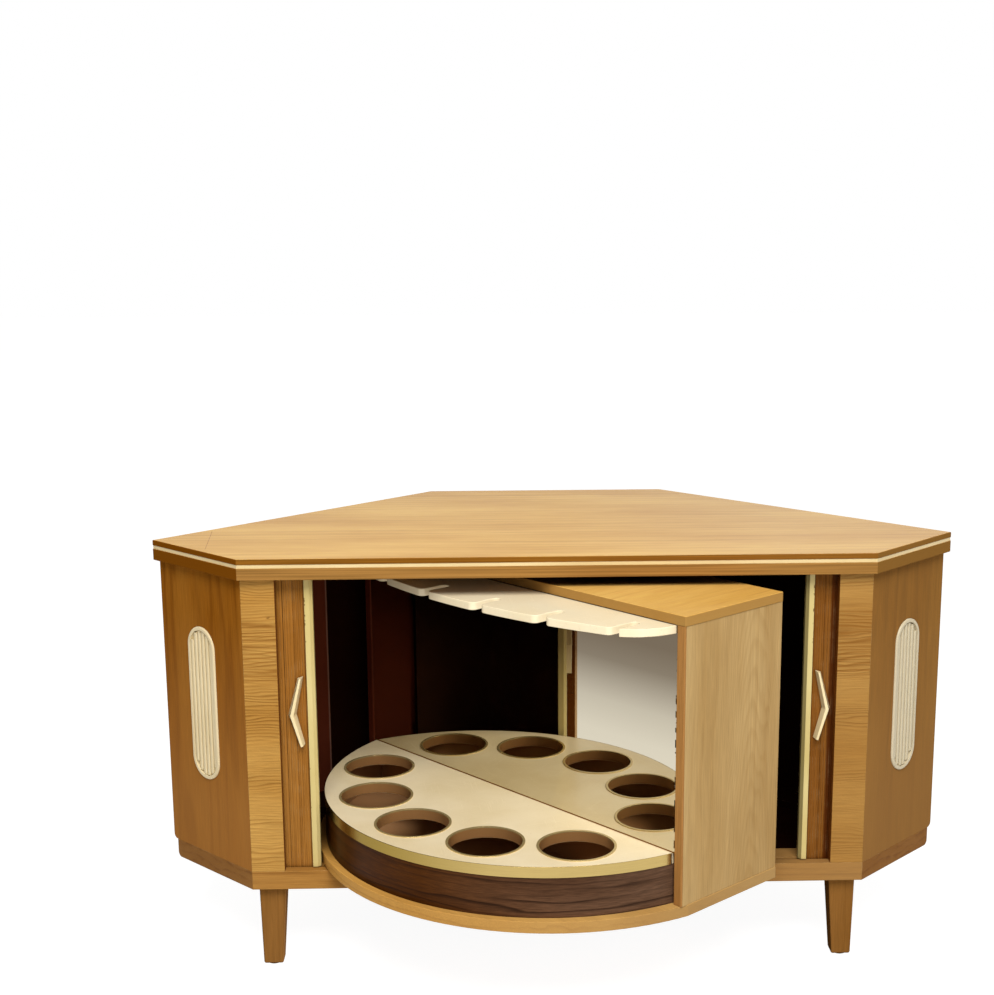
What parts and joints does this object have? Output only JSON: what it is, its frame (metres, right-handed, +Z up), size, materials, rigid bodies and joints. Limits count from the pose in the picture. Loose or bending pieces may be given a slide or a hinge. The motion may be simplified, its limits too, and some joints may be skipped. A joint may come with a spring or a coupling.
{
  "type": "bar cabinet",
  "caption": "Low corner bar cabinet with tambour doors and a turntable bar: bottle wells under a mirror, a hanging glass rack and a storage bay behind, on tapered legs.",
  "frame": {"origin": "on the floor under the middle of the whole cabinet's box, with the bar turned out as in the picture", "axes": "+X to the right seen from the front, +Y to the back towards the corner of the room, +Z up"},
  "size_m": [1.22, 0.7759, 0.638],
  "materials": {
    "top_veneer": "satin veneer, orange-brown",
    "stripe_laminate": "cream laminate",
    "case_veneer": "satin veneer, upright figure",
    "plinth_veneer": "satin veneer, level grain",
    "pilaster_veneer": "satin veneer, level wavy grain",
    "oval_plastic": "cream moulded plastic",
    "tambour_wood": "reeded veneer slats on canvas",
    "edge_plastic": "yellowed cream plastic",
    "handle_plastic": "bevelled cream plastic",
    "leg_wood": "golden brown beech",
    "glide_plastic": "black",
    "back_board": "plain board",
    "inner_wood": "dark stained softwood",
    "base_veneer": "satin veneer",
    "drum_walnut": "walnut veneer, level grain",
    "brass": "gold-coloured, brushed",
    "shelf_laminate": "cream laminate",
    "unit_panel_veneer": "pale veneer",
    "lipping_wood": "hardwood lipping",
    "unit_top_veneer": "satin veneer",
    "rack_laminate": "cream lacquer",
    "mirror": "silvered glass",
    "steel": "plated",
    "bronze": "sintered bronze bush",
    "cage_plastic": "natural nylon"
  },
  "bodies": {
    "carcass": {"back_left_leg": "leg_wood", "back_panel": "back_board", "back_rail": "plinth_veneer", "back_right_leg": "leg_wood", "floor_board": "inner_wood", "front_left_leg": "leg_wood", "front_rail": "plinth_veneer", "front_right_leg": "leg_wood", "left_corner_block": "inner_wood", "left_oval_insert": "oval_plastic", "left_pilaster": "pilaster_veneer", "left_side_panel": "case_veneer", "left_side_rail": "plinth_veneer", "left_wall_panel": "back_board", "left_wall_rail": "plinth_veneer", "leg_bolts": "steel", "leg_glides": "glide_plastic", "lower_race": "steel", "pivot_bush": "bronze", "pivot_spindle": "steel", "right_corner_block": "inner_wood", "right_oval_insert": "oval_plastic", "right_pilaster": "pilaster_veneer", "right_side_panel": "case_veneer", "right_side_rail": "plinth_veneer", "right_wall_panel": "back_board", "right_wall_rail": "plinth_veneer", "top_board": "top_veneer", "top_frame": "top_veneer", "top_stripe": "stripe_laminate"},
    "left_door": {"left_door_edge_strip": "edge_plastic", "left_door_stile": "tambour_wood", "left_door_handle": "handle_plastic", "left_tambour_curtain": "tambour_wood"},
    "right_door": {"right_door_edge_strip": "edge_plastic", "right_door_stile": "tambour_wood", "right_door_handle": "handle_plastic", "right_tambour_curtain": "tambour_wood"},
    "turntable": {"base_board": "base_veneer", "spindle_bush": "bronze", "drum_wall": "drum_walnut", "gold_band": "brass", "bar_shelf": "shelf_laminate", "bottle_rings": "brass", "mirror": "mirror", "mirror_backing": "inner_wood", "left_end_panel": "unit_panel_veneer", "right_end_panel": "unit_panel_veneer", "end_panel_lippings": "lipping_wood", "unit_top_board": "unit_top_veneer", "glass_rack": "rack_laminate", "rack_screws": "steel", "storage_shelf": "inner_wood", "shelf_pins": "steel", "upper_race": "steel", "pivot_pin": "steel"},
    "bearing_cage": {"bearing_cage": "cage_plastic", "bearing_balls": "steel"}
  },
  "joints": [
    {"name": "left_door_slide", "type": "slide", "parent": "carcass", "child": "left_door", "axis": [-1, 0, 0], "range_m": [-0.0005, 0.01], "deforming": ["left_tambour_curtain"]},
    {"name": "right_door_slide", "type": "slide", "parent": "carcass", "child": "right_door", "axis": [1, 0, 0], "range_m": [-0.002, 0.005], "deforming": ["right_tambour_curtain"]},
    {"name": "turntable_turn", "type": "hinge", "parent": "carcass", "child": "turntable", "pos_m": [0, -0.01754, 0], "axis": [0, 0, 1], "continuous": true},
    {"name": "cage_turn", "type": "hinge", "parent": "carcass", "child": "bearing_cage", "pos_m": [0, -0.01754, 0.152], "axis": [0, 0, 1], "continuous": true}
  ],
  "couplings": [
    {"joint": "cage_turn", "follows": "turntable_turn", "ratio": 0.5}
  ]
}
